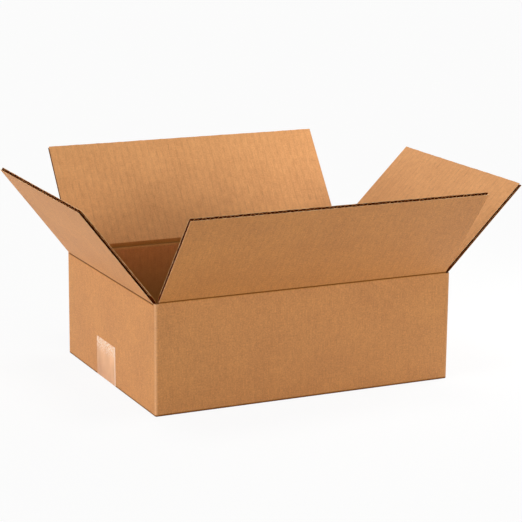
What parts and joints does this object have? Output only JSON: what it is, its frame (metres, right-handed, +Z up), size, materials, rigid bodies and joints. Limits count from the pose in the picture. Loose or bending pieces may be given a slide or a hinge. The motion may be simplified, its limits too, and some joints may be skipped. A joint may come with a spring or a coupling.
{
  "type": "open cardboard box",
  "caption": "Shallow open shipping box of plain brown corrugated board, with hinged top flaps standing open and a taped, closed bottom.",
  "frame": {"origin": "middle of the underside, on the surface the box stands on", "axes": "+X along the long side, front wall towards -Y, +Z up"},
  "size_m": [0.466, 0.3774, 0.2054],
  "materials": {
    "kraft_board": "matte",
    "clear_tape": "gloss"
  },
  "bodies": {
    "box": {"box_body": "kraft_board", "bottom_tape": "clear_tape"},
    "top_flap_front": {"top_flap_front": "kraft_board"},
    "top_flap_back": {"top_flap_back": "kraft_board"},
    "top_flap_left": {"top_flap_left": "kraft_board"},
    "top_flap_right": {"top_flap_right": "kraft_board"}
  },
  "joints": [
    {"name": "front_flap_fold", "type": "hinge", "parent": "box", "child": "top_flap_front", "pos_m": [0, -0.1167, 0.1104], "axis": [1, 0, 0], "range_deg": [-129, 111]},
    {"name": "back_flap_fold", "type": "hinge", "parent": "box", "child": "top_flap_back", "pos_m": [0, 0.1167, 0.1104], "axis": [-1, 0, 0], "range_deg": [-126.4, 113.6]},
    {"name": "left_flap_fold", "type": "hinge", "parent": "box", "child": "top_flap_left", "pos_m": [-0.1554, 0, 0.1072], "axis": [0, -1, 0], "range_deg": [-128.1, 111.9]},
    {"name": "right_flap_fold", "type": "hinge", "parent": "box", "child": "top_flap_right", "pos_m": [0.1554, 0, 0.1072], "axis": [0, 1, 0], "range_deg": [-135.3, 104.7]}
  ]
}
